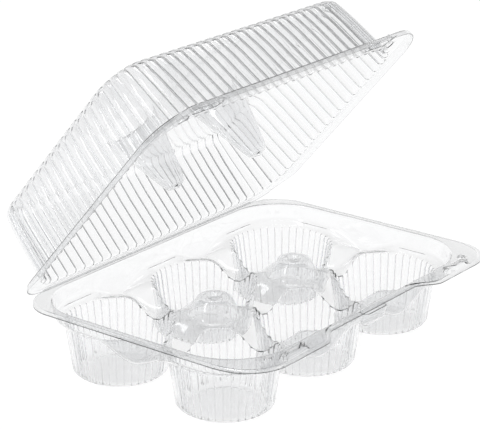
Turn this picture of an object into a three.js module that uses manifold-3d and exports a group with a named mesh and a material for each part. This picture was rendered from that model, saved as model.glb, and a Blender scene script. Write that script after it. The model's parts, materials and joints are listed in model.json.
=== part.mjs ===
// A clear hinged tray-and-lid box for six cupcakes, standing with its lid part open.
// Millimetres, +Z up. The origin is on the table, under the middle of the six cups.
// X runs along the hinge, and the front, where the lid is latched, faces -Y.

import * as THREE from 'three';
import { mergeVertices } from 'three/addons/utils/BufferGeometryUtils.js';
import ManifoldModule from 'manifold-3d';

// Sheet
const FILM = 0.6;

// Cups
const PITCH = 78;
const COLUMNS = 3;
const ROWS = 2;
const CUP_FLOOR_R = 24;
const CUP_WALL_R = 26.8;
const CUP_DRAFT = 0.14;
const CUP_FOOT_Z = 3.2;
const CUP_FLUTES = 40;
const FLUTE_DEPTH = 0.5;
const LIP_Z = 31.5;
const LIP_FLARE = 2.6;
const LIP_RISE = 1.6;

// Saddles between neighbouring cups, and the gutters that run out from them
const SADDLE_Z = 21.8;
const SADDLE_HALF_ANGLE = 32;
const GUTTER_Z = 27;
const GUTTER_HALF_WIDTH = 28;
const SHOULDER_Z = 31.5;

// Pillars between each four cups
const PILLAR_R = 15;
const PILLAR_TOP_Z = 44;
const PILLAR_RINGS = [[14, -9.2], [11.2, -3.4], [9.9, -0.8], [8.7, 0], [4.6, 0], [3.4, -1.7]];

// Tray rim
const DECK_Z = 35;
const RIM_Z = 45.6;
const WALL_INSET = 3.6;
const LIP_TO_WALL = { end: 0.6, back: 0.4, front: 5.2 };
const FLANGE_WIDTH = { end: 6.4, back: 2.8, front: 4.6 };
const HEM = 2.4;
const FLANGE_DROP = 0.8;
const TAB_OUT = 9.2;
const TAB_CURVE = 17;
const TAB_FADE = 30;

// Outlines of the tray, from the cups outwards
const MOUTH_R = CUP_WALL_R + CUP_DRAFT * LIP_Z + LIP_FLARE;
const HALF_LENGTH = ((COLUMNS - 1) / 2) * PITCH;
const HALF_WIDTH = ((ROWS - 1) / 2) * PITCH;
const RIM = {
  half: HALF_LENGTH + MOUTH_R + LIP_TO_WALL.end + WALL_INSET,
  back: HALF_WIDTH + MOUTH_R + LIP_TO_WALL.back + WALL_INSET,
  front: -(HALF_WIDTH + MOUTH_R + LIP_TO_WALL.front + WALL_INSET),
  backR: MOUTH_R + 0.2,
  frontR: MOUTH_R + 3.4,
};
const FLANGE = {
  half: RIM.half + FLANGE_WIDTH.end,
  back: RIM.back + FLANGE_WIDTH.back,
  front: RIM.front - FLANGE_WIDTH.front,
  backR: RIM.backR - 10,
  frontR: RIM.frontR - 9.2,
};
const STEP = {
  half: FLANGE.half - HEM,
  back: FLANGE.back - HEM / 4,
  front: FLANGE.front + HEM,
  backR: FLANGE.backR - HEM / 4,
  frontR: FLANGE.frontR - 1,
};
const TAB_FROM = PITCH / 2 + 2;

// Latch bars, nubs and the front pocket
const BAR = { x: HALF_LENGTH + 3, y: FLANGE.front - 3.4, length: 22, width: 4.6, height: 2.4 };
const NUB = { x: BAR.x + 16, y: FLANGE.front + 2.6, r: 2, height: 1.5 };
const POCKET = { length: 20, width: 5.4, depth: 8, y: FLANGE.front + 0.8 };
const COVER_GAP = 0.5;

// Lid
const LID_GAP = 0.8;
const LID_RISE = 47;
const LID_FLANGE = {
  half: FLANGE.half + 1.2,
  back: FLANGE.back,
  front: FLANGE.front - TAB_OUT - 2.6,
  backR: FLANGE.backR,
  frontR: FLANGE.frontR + 1,
};
const LID_FOOT = {
  half: RIM.half - 2.2,
  back: RIM.back - 3.2,
  front: RIM.front - 0.8,
  backR: RIM.backR - 10,
  frontR: RIM.frontR - 7.2,
};
const LID_DRAFT = 5;
const ROOF_ROUND = 4.2;
const RIB_DEPTH = 1.4;
const RIB_PITCH = 7.85;
const RIB_SHAPE = [[0, -1], [0.24, 1], [0.76, 1]];
const SKIRT = 2.8;
const HINGE_LIP = 0.5;
const CONE = { tip: 6.3, root: 18.5, end: 45.4, nubR: 1.9, nub: 1.9, sides: 24 };

// Hinge
const HINGE_Y = FLANGE.back + 0.15;
const HINGE_Z = RIM_Z + 0.15;
const OPEN_DEG = 49;

// Whole ribs on each stretch of the lid's foot
const ribsAlong = (length) => Math.round(length / RIB_PITCH);
const RIBS = {
  front: ribsAlong(2 * (LID_FOOT.half - LID_FOOT.frontR)),
  back: ribsAlong(2 * (LID_FOOT.half - LID_FOOT.backR)),
  end: ribsAlong(LID_FOOT.back - LID_FOOT.backR - LID_FOOT.front - LID_FOOT.frontR),
  frontCorner: ribsAlong((Math.PI / 2) * LID_FOOT.frontR),
  backCorner: ribsAlong((Math.PI / 2) * LID_FOOT.backR),
};

const wasm = await ManifoldModule();
wasm.setup();
const { Manifold, Mesh } = wasm;

const clamp01 = (t) => Math.min(1, Math.max(0, t));
const lerp = (a, b, t) => a + (b - a) * t;
const smooth = (t) => clamp01(t) ** 2 * (3 - 2 * clamp01(t));
const degrees = (a) => (a * 180) / Math.PI;

// Collects triangles given as points, whichever way round the caller needs them
class Skin {
  constructor() {
    this.positions = [];
  }

  triangle(a, b, c, flip) {
    const order = flip ? [a, c, b] : [a, b, c];
    for (const p of order) this.positions.push(p.x, p.y, p.z);
  }

  // Joins two closed rings, which may have different numbers of points
  band(inner, outer, flip) {
    let i = 0;
    let j = 0;
    while (i < inner.length || j < outer.length) {
      const a = inner[i % inner.length];
      const b = outer[j % outer.length];
      const halfInner = (i + 0.5) / inner.length;
      const halfOuter = (j + 0.5) / outer.length;
      const stepOuter = j < outer.length && (i >= inner.length || halfOuter <= halfInner + 1e-9);
      if (stepOuter) {
        this.triangle(a, b, outer[(j + 1) % outer.length], flip);
        j += 1;
      } else {
        this.triangle(a, b, inner[(i + 1) % inner.length], flip);
        i += 1;
      }
    }
  }

  // Closes a ring with a fan round its middle point
  fan(ring, z, flip) {
    const middle = new THREE.Vector3();
    for (const p of ring) middle.add(p);
    middle.divideScalar(ring.length);
    middle.z = z;
    for (let i = 0; i < ring.length; i += 1) {
      this.triangle(middle, ring[i], ring[(i + 1) % ring.length], flip);
    }
  }

  // Fills a flat face with round holes in it
  plate(outline, holes, flip) {
    const flat = (ring) => ring.map((p) => new THREE.Vector2(p.x, p.y));
    const rings = [outline, ...holes];
    const all = rings.flat();
    const faces = THREE.ShapeUtils.triangulateShape(flat(outline), holes.map(flat));
    for (const [a, b, c] of faces) this.triangle(all[a], all[b], all[c], flip);
  }

  geometry() {
    const geometry = new THREE.BufferGeometry();
    geometry.setAttribute('position', new THREE.Float32BufferAttribute(this.positions, 3));
    return geometry;
  }
}

function toManifold(geometry) {
  const bare = geometry.clone();
  for (const name of Object.keys(bare.attributes)) {
    if (name !== 'position') bare.deleteAttribute(name);
  }
  const merged = mergeVertices(bare, 1e-4);
  const mesh = new Mesh({
    numProp: 3,
    vertProperties: new Float32Array(merged.attributes.position.array),
    triVerts: new Uint32Array(merged.index.array),
  });
  mesh.merge();
  return new Manifold(mesh);
}

function fromManifold(solid) {
  const mesh = solid.getMesh();
  const geometry = new THREE.BufferGeometry();
  geometry.setAttribute('position', new THREE.BufferAttribute(mesh.vertProperties.slice(), 3));
  geometry.setIndex(new THREE.BufferAttribute(mesh.triVerts.slice(), 1));
  geometry.computeVertexNormals();
  return geometry;
}

// A point on a rounded rectangle: on a straight side at a share of its length,
// or on a corner at a share of its arc, counted anticlockwise from +X
function outlinePoint(shape, piece, share, z) {
  const { half, back, front, backR, frontR } = shape;
  const corner = (cx, cy, r, from) => {
    const a = ((from + 90 * share) * Math.PI) / 180;
    return new THREE.Vector3(cx + r * Math.cos(a), cy + r * Math.sin(a), z);
  };
  switch (piece) {
    case 'right': return new THREE.Vector3(half, lerp(front + frontR, back - backR, share), z);
    case 'backRight': return corner(half - backR, back - backR, backR, 0);
    case 'back': return new THREE.Vector3(lerp(half - backR, backR - half, share), back, z);
    case 'backLeft': return corner(backR - half, back - backR, backR, 90);
    case 'left': return new THREE.Vector3(-half, lerp(back - backR, front + frontR, share), z);
    case 'frontLeft': return corner(frontR - half, front + frontR, frontR, 180);
    case 'front': return new THREE.Vector3(lerp(frontR - half, half - frontR, share), front, z);
    default: return corner(half - frontR, front + frontR, frontR, 270);
  }
}

const inset = (shape, d) => ({
  half: shape.half - d,
  back: shape.back - d,
  front: shape.front + d,
  backR: shape.backR - d,
  frontR: shape.frontR - d,
});

const DECK = inset(RIM, WALL_INSET);
const columnX = (i) => (i - (COLUMNS - 1) / 2) * PITCH;
const rowY = (j) => (j - (ROWS - 1) / 2) * PITCH;

// Heights along the lines between cups and round the foot of the tray's wall
const bump = (d) => Math.cos((Math.PI / 2) * clamp01(Math.abs(d) / GUTTER_HALF_WIDTH)) ** 2;
const gutterXs = Array.from({ length: COLUMNS - 1 }, (_, i) => columnX(i) + PITCH / 2);

function wallFootZ(piece, p) {
  const along = piece === 'left' || piece === 'right' ? [p.y] : gutterXs.map((x) => p.x - x);
  const dip = Math.max(0, ...along.map(bump));
  return lerp(DECK_Z, GUTTER_Z, dip);
}

// Share of a straight side of the deck's outline at a given place
function deckShare(piece, value) {
  const a = outlinePoint(DECK, piece, 0, 0);
  const b = outlinePoint(DECK, piece, 1, 0);
  const key = piece === 'left' || piece === 'right' ? 'y' : 'x';
  return (value - a[key]) / (b[key] - a[key]);
}

// Points from the middle of one side of a cup's cell to the middle of the next,
// each with the piece and share of the tray's outline that it lies on, if any
function cellQuarter(cx, cy, quarter) {
  const right = quarter === 0 || quarter === 3;
  const up = quarter === 0 || quarter === 1;
  const sx = right ? 1 : -1;
  const sy = up ? 1 : -1;
  const outerX = Math.abs(cx + sx * PITCH) > columnX(COLUMNS - 1) + 1;
  const outerY = Math.abs(cy + sy * PITCH) > rowY(ROWS - 1) + 1;
  const endPiece = right ? 'right' : 'left';
  const longPiece = up ? 'back' : 'front';
  const cornerPiece = longPiece + (right ? 'Right' : 'Left');
  const edgeX = outerX ? sx * DECK.half : cx + (sx * PITCH) / 2;
  const edgeY = outerY ? (up ? DECK.back : DECK.front) : cy + (sy * PITCH) / 2;
  const r = up ? DECK.backR : DECK.frontR;
  const points = [];
  const onEnd = (y) => (outerX ? { x: edgeX, y, piece: endPiece } : { x: edgeX, y });
  const onLong = (x) => (outerY ? { x, y: edgeY, piece: longPiece } : { x, y: edgeY });
  const run = (make, from, to, steps) => {
    for (let k = 0; k < steps; k += 1) points.push(make(lerp(from, to, k / steps)));
  };
  if (outerX && outerY) {
    run(onEnd, cy, edgeY - sy * r, 1);
    for (let k = 0; k < 8; k += 1) {
      const share = sx * sy > 0 ? k / 8 : 1 - k / 8;
      const p = outlinePoint(DECK, cornerPiece, share, 0);
      points.push({ x: p.x, y: p.y, piece: cornerPiece, share });
    }
    run(onLong, edgeX - sx * r, cx, 1);
  } else if (outerX || outerY) {
    run(onEnd, cy, edgeY, 5);
    points.push(outerX ? onEnd(edgeY) : onLong(edgeX));
    run(onLong, lerp(edgeX, cx, 0.2), cx, 4);
  } else {
    run(onEnd, cy, edgeY - sy * PILLAR_R, 3);
    for (let k = 0; k < 4; k += 1) {
      const a = ((k / 4) * Math.PI) / 2;
      points.push({ x: edgeX - sx * PILLAR_R * Math.sin(a), y: edgeY - sy * PILLAR_R * Math.cos(a) });
    }
    run(onLong, edgeX - sx * PILLAR_R, cx, 3);
  }
  points.push(onLong(cx));
  return points;
}

// Height of the sheet on the line between two cups' cells
function seamZ(cx, cy, p) {
  const onVertical = Math.abs(Math.abs(p.x - cx) - PITCH / 2) < 1e-6;
  const along = onVertical ? p.y - cy : p.x - cx;
  const inward = onVertical ? Math.abs(p.y) < Math.abs(cy) : Math.abs(p.x) < Math.abs(cx);
  const towardPillar = inward || (cx === 0 && !onVertical);
  const shoulderAt = PITCH / 2 - PILLAR_R;
  if (towardPillar) return lerp(SADDLE_Z, SHOULDER_Z, clamp01(Math.abs(along) / shoulderAt));
  const edge = onVertical ? (cy > 0 ? DECK.back : -DECK.front) - Math.abs(cy) : DECK.half - Math.abs(cx);
  return lerp(SADDLE_Z, GUTTER_Z, clamp01(Math.abs(along) / edge));
}

function cellBoundary(cx, cy) {
  const points = [];
  for (let quarter = 0; quarter < 4; quarter += 1) {
    const run = cellQuarter(cx, cy, quarter);
    if (quarter % 2 === 1) run.reverse();
    points.push(...run.slice(0, -1));
  }
  return points.map(({ x, y, piece, share }) => {
    const p = new THREE.Vector3(x, y, piece ? wallFootZ(piece, { x, y }) : seamZ(cx, cy, { x, y }));
    return Object.assign(p, { piece, share });
  });
}

// Height of a cup's lip by direction: it dips where a neighbour lies
function lipZ(cx, cy, angle) {
  let dip = 0;
  for (const [dx, dy] of [[1, 0], [0, 1], [-1, 0], [0, -1]]) {
    const inX = Math.abs(cx + dx * PITCH) < columnX(COLUMNS - 1) + 1;
    const inY = Math.abs(cy + dy * PITCH) < rowY(ROWS - 1) + 1;
    if (!inX || !inY) continue;
    const away = Math.abs(degrees(Math.atan2(
      Math.sin(angle - Math.atan2(dy, dx)),
      Math.cos(angle - Math.atan2(dy, dx)),
    )));
    dip = Math.max(dip, clamp01(1 - away / SADDLE_HALF_ANGLE));
  }
  return lerp(LIP_Z, SADDLE_Z, dip);
}

const circle = (cx, cy, r, z, count, ripple = 0) => Array.from({ length: count }, (_, k) => {
  const a = (2 * Math.PI * k) / count;
  const radius = r + (k % 2 ? -ripple : ripple);
  return new THREE.Vector3(cx + radius * Math.cos(a), cy + radius * Math.sin(a), z);
});

// One face of the tray: the food side, or the under side one sheet thickness away
function trayFace(skin, under) {
  const out = under ? FILM : 0;
  const flip = under;
  const outline = [];
  for (let i = 0; i < COLUMNS; i += 1) {
    for (let j = 0; j < ROWS; j += 1) {
      const cx = columnX(i);
      const cy = rowY(j);
      const floor = circle(cx, cy, CUP_FLOOR_R, FILM - out, CUP_FLUTES);
      const footR = CUP_WALL_R + CUP_DRAFT * CUP_FOOT_Z + out * 0.95;
      const foot = circle(cx, cy, footR, CUP_FOOT_Z - out * 0.3, 2 * CUP_FLUTES, FLUTE_DEPTH);
      const lip = foot.map((p, k) => {
        const a = (2 * Math.PI * k) / foot.length;
        const z = lipZ(cx, cy, a) - out * 0.3;
        const r = CUP_WALL_R + CUP_DRAFT * z + out + (k % 2 ? -FLUTE_DEPTH : FLUTE_DEPTH);
        return new THREE.Vector3(cx + r * Math.cos(a), cy + r * Math.sin(a), z);
      });
      const edge = cellBoundary(cx, cy);
      const mouth = circle(cx, cy, 1, 0, CUP_FLUTES).map((p, k) => {
        const a = (2 * Math.PI * k) / CUP_FLUTES;
        const z = lipZ(cx, cy, a);
        const rise = LIP_RISE * clamp01((z - SADDLE_Z) / (LIP_Z - SADDLE_Z));
        const r = CUP_WALL_R + CUP_DRAFT * z + LIP_FLARE + out * 0.4;
        return new THREE.Vector3(cx + r * Math.cos(a), cy + r * Math.sin(a), z + rise - out * 0.9);
      });
      skin.fan(floor, FILM - out, flip);
      skin.band(floor, foot, flip);
      skin.band(foot, lip, flip);
      skin.band(lip, mouth, flip);
      skin.band(mouth, edge.map((p) => p.clone().setZ(p.z - out)), flip);
      outline.push(...edge.filter((p) => p.piece));
    }
  }
  for (const x of gutterXs) {
    let ring = circle(x, 0, PILLAR_R, SHOULDER_Z - out, 16);
    for (const [r, dz] of PILLAR_RINGS) {
      const next = circle(x, 0, r - out * 0.8, PILLAR_TOP_Z + dz - out * 0.8, 16);
      skin.band(next, ring, flip);
      ring = next;
    }
    skin.fan(ring, ring[0].z, flip);
  }
  return outline;
}

// The deck's outline in order, with each point given once
function orderedOutline(points) {
  const unique = [];
  const seen = new Set();
  for (const p of points) {
    const key = `${Math.round(p.x * 1e3)},${Math.round(p.y * 1e3)}`;
    if (!seen.has(key)) {
      seen.add(key);
      unique.push(p);
    }
  }
  return unique.sort((a, b) => Math.atan2(a.y, a.x) - Math.atan2(b.y, b.x));
}

// The same place on another outline, such as the rim or the flange's edge
function matching(shape, p, z) {
  if (p.share !== undefined) return outlinePoint(shape, p.piece, p.share, z);
  const key = p.piece === 'left' || p.piece === 'right' ? 'y' : 'x';
  return outlinePoint(shape, p.piece, deckShare(p.piece, p[key]), z);
}

// The flange's front edge steps out to a wide tab near each front corner
function withTabs(p) {
  const front = smooth((FLANGE.front / 2 - p.y) / TAB_FADE);
  const out = TAB_OUT * smooth((Math.abs(p.x) - TAB_FROM) / TAB_CURVE) * front;
  return p.clone().setY(p.y - out);
}

function trayGeometry() {
  const skin = new Skin();
  const deck = orderedOutline(trayFace(skin, false));
  trayFace(skin, true);
  const wallTop = (d, z) => deck.map((p) => matching(inset(RIM, -d), p, z));
  const edge = (shape, z) => deck.map((p) => withTabs(matching(shape, p, z)));
  const shift = (ring, dz) => ring.map((p) => p.clone().setZ(p.z + dz));
  const step = edge(STEP, RIM_Z);
  const drop = (p) => FLANGE_DROP * smooth((FLANGE.back - p.y) / 12);
  const brim = edge(FLANGE, RIM_Z).map((p) => p.setZ(RIM_Z - drop(p)));
  const top = [deck, wallTop(0, RIM_Z), step, brim];
  const below = [shift(deck, -FILM), wallTop(FILM, RIM_Z - FILM), shift(step, -FILM), shift(brim, -FILM)];
  for (let k = 0; k < 3; k += 1) {
    skin.band(top[k], top[k + 1], false);
    skin.band(below[k], below[k + 1], true);
  }
  skin.band(brim, below[3], false);
  return skin.geometry();
}

// A low bar with rounded ends and sloping sides, centred on x and y
function barSolid(x, y, length, width, z0, z1, slope) {
  const skin = new Skin();
  const ring = (grow, z) => {
    const r = width / 2 + grow;
    const points = [];
    for (let k = 0; k < 16; k += 1) {
      const a = (2 * Math.PI * (k + 0.5)) / 16;
      const shift = Math.sign(Math.cos(a)) * (length - width) * 0.5;
      points.push(new THREE.Vector3(x + shift + r * Math.cos(a), y + r * Math.sin(a), z));
    }
    return points;
  };
  const up = z1 > z0;
  const root = ring(slope, z0);
  const crest = ring(0, z1);
  skin.fan(crest, z1, !up);
  skin.band(crest, root, !up);
  skin.fan(root, z0, up);
  return toManifold(skin.geometry());
}

function trayMesh() {
  let solid = toManifold(trayGeometry());
  const sides = [-1, 1];
  for (const s of sides) {
    const root = RIM_Z - FILM / 2;
    const hollow = RIM_Z - FILM * 1.5;
    const { x, y, length, width, height } = BAR;
    const bar = barSolid(s * x, y, length, width, root, RIM_Z + height, 0.8);
    const inside = barSolid(s * x, y, length - 2 * FILM, width - 2 * FILM, hollow, RIM_Z + height - FILM, 0.8);
    const nub = barSolid(s * NUB.x, NUB.y, 2 * NUB.r, 2 * NUB.r, root, RIM_Z + NUB.height, 0.3);
    solid = solid.add(bar).subtract(inside).add(nub);
  }
  const { length, width, depth, y } = POCKET;
  const bottom = RIM_Z - depth;
  const cup = barSolid(0, y, length, width, RIM_Z - FLANGE_DROP, bottom, 0.9);
  const room = barSolid(0, y, length - 2 * FILM, width - 2 * FILM, RIM_Z + 1, bottom + FILM, 0.9);
  return fromManifold(solid.add(cup).subtract(room));
}

// Points round the lid: three to a rib, or one to a rib
function lidRing(shape, z, ribbed, depth) {
  const points = [];
  const run = (piece, ribs) => {
    const marks = ribbed ? RIB_SHAPE : [[0, 0]];
    for (let k = 0; k < ribs; k += 1) {
      for (const [at, side] of marks) {
        const share = (k + at) / ribs;
        points.push(outlinePoint(inset(shape, -side * depth), piece, share, z));
      }
    }
  };
  run('right', RIBS.end);
  run('backRight', RIBS.backCorner);
  run('back', RIBS.back);
  run('backLeft', RIBS.backCorner);
  run('left', RIBS.end);
  run('frontLeft', RIBS.frontCorner);
  run('front', RIBS.front);
  run('frontRight', RIBS.frontCorner);
  return points;
}

function skirtDepth(p) {
  return lerp(HINGE_LIP, SKIRT, smooth((LID_FLANGE.back - 6 - p.y) / 22));
}

// One face of the lid, modelled closed: the outside, or the inside one sheet away
function lidFace(skin, inside) {
  const t = inside ? FILM : 0;
  const flip = inside;
  const base = RIM_Z + LID_GAP;
  const roofZ = base + LID_RISE - t;
  const roof = lidRing(inset(LID_FOOT, LID_DRAFT + ROOF_ROUND), roofZ, false, 0);
  const wallTop = lidRing(inset(LID_FOOT, LID_DRAFT + t), roofZ - ROOF_ROUND, true, RIB_DEPTH);
  const foot = lidRing(inset(LID_FOOT, t), base + FILM - t, true, RIB_DEPTH);
  const brim = lidRing(inset(LID_FLANGE, t), base + FILM - t, false, 0);
  const w = inside ? 0 : FILM;
  const holes = gutterXs.map((x) => circle(x, 0, CONE.root - w, roofZ, CONE.sides));
  skin.plate(roof, holes.map((ring) => ring.slice().reverse()), flip);
  skin.band(roof, wallTop, flip);
  skin.band(wallTop, foot, flip);
  skin.band(foot, brim, flip);
  const hem = brim.map((p) => p.clone().setZ(base - skirtDepth(p)));
  skin.band(brim, hem, flip);
  gutterXs.forEach((x, k) => {
    let ring = circle(x, 0, CONE.tip - w, CONE.end + w, CONE.sides);
    skin.band(ring, holes[k], flip);
    if (inside) {
      const nubRoot = circle(x, 0, CONE.nubR, CONE.end, CONE.sides / 2);
      const nubEnd = circle(x, 0, CONE.nubR * 0.8, CONE.end - CONE.nub, CONE.sides / 2);
      skin.band(nubRoot, ring, flip);
      skin.band(nubEnd, nubRoot, flip);
      ring = nubEnd;
    }
    skin.fan(ring, ring[0].z, flip);
  });
  return hem;
}

function lidMesh() {
  const skin = new Skin();
  const outer = lidFace(skin, false);
  const inner = lidFace(skin, true);
  skin.band(outer, inner, false);
  let solid = toManifold(skin.geometry());
  const flangeZ = RIM_Z + LID_GAP;
  const cover = (x, y, length, width, height) => {
    const top = RIM_Z + height + COVER_GAP;
    const room = COVER_GAP * 2;
    const wall = room + 2 * FILM;
    const lump = barSolid(x, y, length + wall, width + wall, flangeZ + FILM / 2, top + FILM, 0.6);
    const space = barSolid(x, y, length + room, width + room, flangeZ - 1, top, 0.6);
    solid = solid.add(lump).subtract(space);
  };
  for (const s of [-1, 1]) {
    cover(s * BAR.x, BAR.y, BAR.length, BAR.width, BAR.height);
    cover(s * NUB.x, NUB.y, 2 * NUB.r, 2 * NUB.r, NUB.height);
  }
  return fromManifold(solid);
}

function materialOf(color, roughness) {
  return new THREE.MeshStandardMaterial({ color, roughness, metalness: 0, transparent: true, opacity: 0.35 });
}

const part = new THREE.Group();
part.name = 'cupcake_box';
const tray = new THREE.Mesh(trayMesh(), materialOf(0xe9ebec, 0.12));
tray.name = 'tray';
part.add(tray);
const hinge = new THREE.Group();
hinge.position.set(0, HINGE_Y, HINGE_Z);
hinge.rotation.x = (-OPEN_DEG * Math.PI) / 180;
const lid = new THREE.Mesh(lidMesh(), materialOf(0xe9ebec, 0.12));
lid.name = 'lid';
lid.position.set(0, -HINGE_Y, -HINGE_Z);
hinge.add(lid);
part.add(hinge);

export default part;
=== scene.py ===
"""Dresses the clear hinged cupcake box: its tray, its lid and the crease that joins them."""

import json
import logging
import math
from collections.abc import Callable, Sequence
from dataclasses import astuple, dataclass, field, replace
from enum import Enum

import bmesh
import bpy
from mathutils import Matrix, Vector

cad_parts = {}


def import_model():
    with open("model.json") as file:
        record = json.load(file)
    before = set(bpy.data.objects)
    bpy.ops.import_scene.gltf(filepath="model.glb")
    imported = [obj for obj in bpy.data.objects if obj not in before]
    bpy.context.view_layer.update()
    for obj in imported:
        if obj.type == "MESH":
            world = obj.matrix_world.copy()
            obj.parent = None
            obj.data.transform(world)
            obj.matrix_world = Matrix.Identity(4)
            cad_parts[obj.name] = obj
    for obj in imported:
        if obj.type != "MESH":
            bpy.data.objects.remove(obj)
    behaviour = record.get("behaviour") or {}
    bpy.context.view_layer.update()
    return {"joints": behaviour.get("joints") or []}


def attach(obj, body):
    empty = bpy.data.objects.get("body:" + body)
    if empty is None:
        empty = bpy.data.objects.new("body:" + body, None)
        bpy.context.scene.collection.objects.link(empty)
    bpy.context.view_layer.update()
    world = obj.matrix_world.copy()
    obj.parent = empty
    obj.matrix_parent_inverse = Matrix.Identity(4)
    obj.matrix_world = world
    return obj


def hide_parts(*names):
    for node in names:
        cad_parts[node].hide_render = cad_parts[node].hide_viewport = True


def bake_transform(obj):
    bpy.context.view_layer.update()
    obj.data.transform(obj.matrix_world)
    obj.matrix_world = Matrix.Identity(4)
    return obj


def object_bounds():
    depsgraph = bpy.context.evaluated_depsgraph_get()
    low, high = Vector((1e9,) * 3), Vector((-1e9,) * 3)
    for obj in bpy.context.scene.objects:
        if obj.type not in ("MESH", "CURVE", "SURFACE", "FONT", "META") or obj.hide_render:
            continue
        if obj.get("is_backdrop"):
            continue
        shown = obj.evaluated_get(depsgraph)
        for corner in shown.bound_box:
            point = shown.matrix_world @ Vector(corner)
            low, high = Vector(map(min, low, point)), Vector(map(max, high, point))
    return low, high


LOG = logging.getLogger("cupcake_box")
IMAGE_WIDTH = 480
# Lengths are in millimetres, apart from the studio's, which are in metres.
METRES = 0.001
# How near counts as on a line, as one point, as on a cut, and as level.
NEAR, WELD, CUT_NEAR, LEVEL = 0.001, 0.01, 0.0001, 0.05
# Edges that bend more than this look sharp.
SHARP = math.radians(50)
WHITE = (1.0, 1.0, 1.0, 1.0)

Colour = tuple[float, float, float, float]
Points = list[Vector]
Ring = list[bmesh.types.BMVert]


def clamp(value: float) -> float:
    """Returns value kept between 0 and 1."""
    return min(1.0, max(0.0, value))


def mix(start: float, end: float, share: float) -> float:
    """Returns the number at a share of the way from start to end."""
    return start + (end - start) * share


def ease(value: float) -> float:
    """Returns a smooth step from 0 to 1."""
    return clamp(value) ** 2 * (3 - 2 * clamp(value))


class Stretch(Enum):
    """The stretches of a rounded outline, anticlockwise from the right-hand end."""

    RIGHT = 0
    BACK_RIGHT = 1
    BACK = 2
    BACK_LEFT = 3
    LEFT = 4
    FRONT_LEFT = 5
    FRONT = 6
    FRONT_RIGHT = 7


class Side(Enum):
    """The two ends of the box."""

    LEFT = -1
    RIGHT = 1


@dataclass(frozen=True)
class Bar:
    """A raised bar with cut corners, in millimetres."""

    x: float
    y: float
    length: float
    width: float
    height: float
    slope: float = 0.8
    corner_share: float = 0.58

    def on(self, side: Side) -> "Bar":
        """Returns the same bar at one end of the box."""
        return replace(self, x=self.x * side.value)

    def cuts(self) -> list[tuple[Vector, Vector]]:
        """Returns a point and an outward direction for each of the bar's eight upright sides."""
        middle = Vector((self.x, self.y, 0))
        long, wide = self.length / 2 + self.slope, self.width / 2 + self.slope
        corner = self.corner_share * wide
        sides = []
        for way in (-1, 1):
            sides.append((middle + Vector((way * long, 0, 0)), Vector((way, 0, 0))))
            sides.append((middle + Vector((0, way * wide, 0)), Vector((0, way, 0))))
            for across in (-1, 1):
                place = middle + Vector((way * (long - corner), across * wide, 0))
                sides.append((place, Vector((way, across, 0)).normalized()))
        return sides


@dataclass(frozen=True)
class Outline:
    """A rounded rectangle seen from above, in millimetres."""

    half: float
    back: float
    front: float
    back_radius: float
    front_radius: float

    def inset(self, distance: float) -> "Outline":
        """Returns the outline that lies a distance inside this one."""
        return Outline(
            self.half - distance,
            self.back - distance,
            self.front + distance,
            self.back_radius - distance,
            self.front_radius - distance,
        )

    def towards(self, other: "Outline", share: float) -> "Outline":
        """Returns the outline at a share of the way from this one to another."""
        return Outline(*(mix(a, b, share) for a, b in zip(astuple(self), astuple(other))))

    def point(self, stretch: Stretch, share: float, height: float) -> Vector:
        """Returns a point on one stretch.

        Args:
            stretch: The straight side or corner it lies on.
            share: How far along that stretch, from 0 to 1.
            height: Its height.

        Returns:
            The point.
        """
        back, front = self.back - self.back_radius, self.front + self.front_radius
        back_x, front_x = self.half - self.back_radius, self.half - self.front_radius
        corners = {
            Stretch.BACK_RIGHT: (back_x, back, self.back_radius, 0),
            Stretch.BACK_LEFT: (-back_x, back, self.back_radius, 90),
            Stretch.FRONT_LEFT: (-front_x, front, self.front_radius, 180),
            Stretch.FRONT_RIGHT: (front_x, front, self.front_radius, 270),
        }
        if stretch in corners:
            x, y, radius, start = corners[stretch]
            angle = math.radians(start + 90 * share)
            return Vector((x + radius * math.cos(angle), y + radius * math.sin(angle), height))
        if stretch is Stretch.RIGHT:
            return Vector((self.half, mix(front, back, share), height))
        if stretch is Stretch.LEFT:
            return Vector((-self.half, mix(back, front, share), height))
        if stretch is Stretch.BACK:
            return Vector((mix(back_x, -back_x, share), self.back, height))
        return Vector((mix(-front_x, front_x, share), self.front, height))

    def locate(self, point: Vector) -> tuple[Stretch, float]:
        """Finds where a point on this outline lies.

        Args:
            point: A point on the outline.

        Returns:
            Its stretch and its share of that stretch.
        """
        back, front = self.back - self.back_radius, self.front + self.front_radius
        is_back = point.y > back
        radius = self.back_radius if is_back else self.front_radius
        middle_x = self.half - radius
        if abs(point.x) > middle_x and not front <= point.y <= back:
            side = math.copysign(1, point.x)
            middle = Vector((side * middle_x, back if is_back else front, 0))
            turn = math.degrees(math.atan2(point.y - middle.y, point.x - middle.x))
            if is_back:
                stretch, start = (Stretch.BACK_RIGHT, 0) if side > 0 else (Stretch.BACK_LEFT, 90)
            elif side > 0:
                stretch, start = Stretch.FRONT_RIGHT, -90
            else:
                stretch, start = Stretch.FRONT_LEFT, -180
            ahead = (turn - start + 180) % 360 - 180
            return stretch, clamp(ahead / 90)
        if abs(point.x) > middle_x:
            share = (point.y - front) / (back - front)
            return (Stretch.RIGHT, share) if point.x > 0 else (Stretch.LEFT, 1 - share)
        share = (point.x + middle_x) / (2 * middle_x)
        return (Stretch.BACK, 1 - share) if is_back else (Stretch.FRONT, share)


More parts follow.
